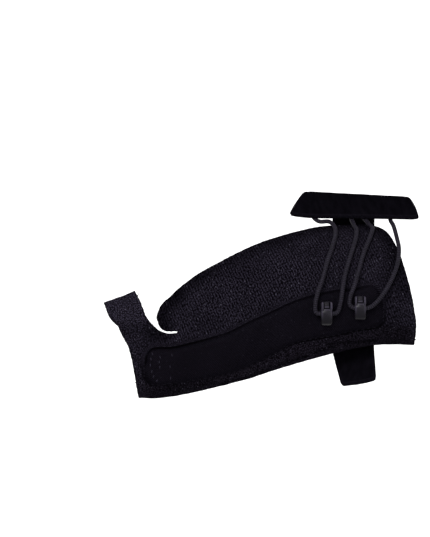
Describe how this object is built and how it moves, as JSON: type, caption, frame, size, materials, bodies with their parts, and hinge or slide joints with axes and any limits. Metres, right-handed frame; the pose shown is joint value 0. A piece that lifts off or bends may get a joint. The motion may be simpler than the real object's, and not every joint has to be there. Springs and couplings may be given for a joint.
{
  "type": "thumb stabilizer brace",
  "caption": "Padded knit thumb and wrist wrap with a closed thumb loop, a stay pocket, an elastic lace through moulded guides, and a velour panel and strap that close it.",
  "frame": {"origin": "middle of the wrist that the brace is worn on, on the line that the lace guides and the strap are centred along", "axes": "+X along the forearm towards the elbow, +Z out of the back of the hand with the palm facing down, +Y towards the little-finger side, so the thumb side faces -Y"},
  "size_m": [0.1463, 0.0976, 0.0557],
  "materials": {
    "knit": "matt black brushed warp-knit laminate with small ribs and fine sparkles",
    "twill": "smooth black fabric with a fine diagonal weave",
    "guide_plastic": "dark grey moulded plastic with a satin sheen",
    "braid": "round braided elastic, dark grey, slightly glossy yarn",
    "velour": "black short-pile velour with a paler cut edge",
    "hook": "black hook tape"
  },
  "bodies": {
    "root": {"wrap": "knit", "splint_pocket": "twill", "lace_guide_1": "guide_plastic", "lace_guide_2": "guide_plastic", "lace": "braid", "lace_panel": "velour", "wrist_strap": "velour", "hook_patch": "hook"}
  },
  "joints": []
}
